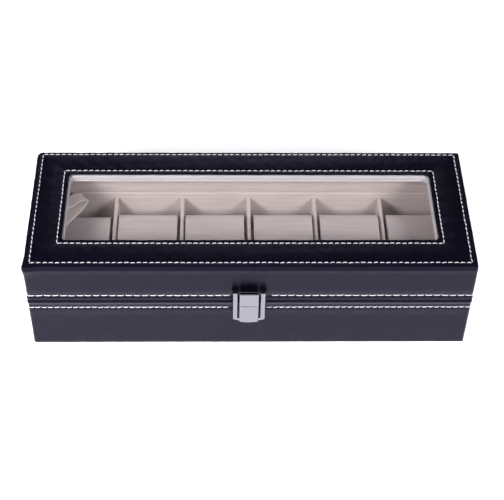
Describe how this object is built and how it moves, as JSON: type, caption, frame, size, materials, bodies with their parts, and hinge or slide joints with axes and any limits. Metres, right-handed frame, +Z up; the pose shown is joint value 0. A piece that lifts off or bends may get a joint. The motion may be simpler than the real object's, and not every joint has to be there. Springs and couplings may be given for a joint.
{
  "type": "watch box",
  "caption": "Long rectangular leather-covered watch box: stitched seams, window in the hinged lid, flap latch, velvet-lined compartments with lift-out cushions.",
  "frame": {"origin": "centre of the underside, where the box rests on a table", "axes": "+X to the right along the box's length, +Y from the latch side to the hinge side, +Z up"},
  "size_m": [0.3008, 0.1207, 0.0784],
  "materials": {
    "black_leather": "satin",
    "mdf_board": "matte",
    "lining_velvet": "matte",
    "bezel_velvet": "matte",
    "cushion_velvet": "matte",
    "seam_thread": "matte",
    "window_glass": "gloss",
    "ribbon_satin": "satin",
    "underside_felt": "matte",
    "latch_nickel": "satin",
    "hinge_steel": "satin"
  },
  "bodies": {
    "base": {"underside_cover": "underside_felt", "base_bottom_board": "mdf_board", "base_front_board": "mdf_board", "base_back_board": "mdf_board", "base_left_board": "mdf_board", "base_right_board": "mdf_board", "base_leather_wrap": "black_leather", "floor_lining": "lining_velvet", "base_front_lining": "lining_velvet", "base_back_lining": "lining_velvet", "base_left_lining": "lining_velvet", "base_right_lining": "lining_velvet", "base_wall_stitching": "seam_thread", "divider_1": "lining_velvet", "divider_2": "lining_velvet", "divider_3": "lining_velvet", "divider_4": "lining_velvet", "divider_5": "lining_velvet", "base_hinge_leaf_left": "hinge_steel", "base_hinge_leaf_right": "hinge_steel", "hinge_pin_left": "hinge_steel", "hinge_pin_right": "hinge_steel", "base_hinge_screws": "hinge_steel", "latch_catch_plate": "latch_nickel", "catch_plate_nails": "hinge_steel", "stay_ribbon": "ribbon_satin"},
    "lid": {"lid_front_board": "mdf_board", "lid_back_board": "mdf_board", "lid_left_board": "mdf_board", "lid_right_board": "mdf_board", "lid_top_board": "mdf_board", "lid_skirt_leather": "black_leather", "lid_top_leather": "black_leather", "lid_front_lining": "lining_velvet", "lid_back_lining": "lining_velvet", "lid_left_lining": "lining_velvet", "lid_right_lining": "lining_velvet", "window_bezel": "bezel_velvet", "glass_pane": "window_glass", "lid_wall_stitching": "seam_thread", "top_outer_stitching": "seam_thread", "window_stitching": "seam_thread", "lid_hinge_leaf_left": "hinge_steel", "lid_hinge_leaf_right": "hinge_steel", "lid_hinge_screws": "hinge_steel", "latch_hinge_plate": "latch_nickel", "latch_plate_nails": "hinge_steel", "latch_pin": "latch_nickel"},
    "flap": {"latch_flap": "latch_nickel"},
    "cushion_1": {"cushion_1": "cushion_velvet"},
    "cushion_2": {"cushion_2": "cushion_velvet"},
    "cushion_3": {"cushion_3": "cushion_velvet"},
    "cushion_4": {"cushion_4": "cushion_velvet"},
    "cushion_5": {"cushion_5": "cushion_velvet"},
    "cushion_6": {"cushion_6": "cushion_velvet"}
  },
  "joints": [
    {"name": "lid_hinge", "type": "hinge", "parent": "base", "child": "lid", "pos_m": [0, 0.0576, 0.0453], "axis": [-1, 0, 0], "range_deg": [0, 100], "deforming": ["stay_ribbon"]},
    {"name": "latch_hinge", "type": "hinge", "parent": "lid", "child": "flap", "pos_m": [-0.0012, -0.058, 0.0559], "axis": [-1, 0, 0], "range_deg": [0, 95]},
    {"name": "cushion_1_lift", "type": "slide", "parent": "base", "child": "cushion_1", "axis": [0, 0, 1], "range_m": [0, 0.024]},
    {"name": "cushion_2_lift", "type": "slide", "parent": "base", "child": "cushion_2", "axis": [0, 0, 1], "range_m": [0, 0.024]},
    {"name": "cushion_3_lift", "type": "slide", "parent": "base", "child": "cushion_3", "axis": [0, 0, 1], "range_m": [0, 0.024]},
    {"name": "cushion_4_lift", "type": "slide", "parent": "base", "child": "cushion_4", "axis": [0, 0, 1], "range_m": [0, 0.024]},
    {"name": "cushion_5_lift", "type": "slide", "parent": "base", "child": "cushion_5", "axis": [0, 0, 1], "range_m": [0, 0.024]},
    {"name": "cushion_6_lift", "type": "slide", "parent": "base", "child": "cushion_6", "axis": [0, 0, 1], "range_m": [0, 0.024]}
  ]
}
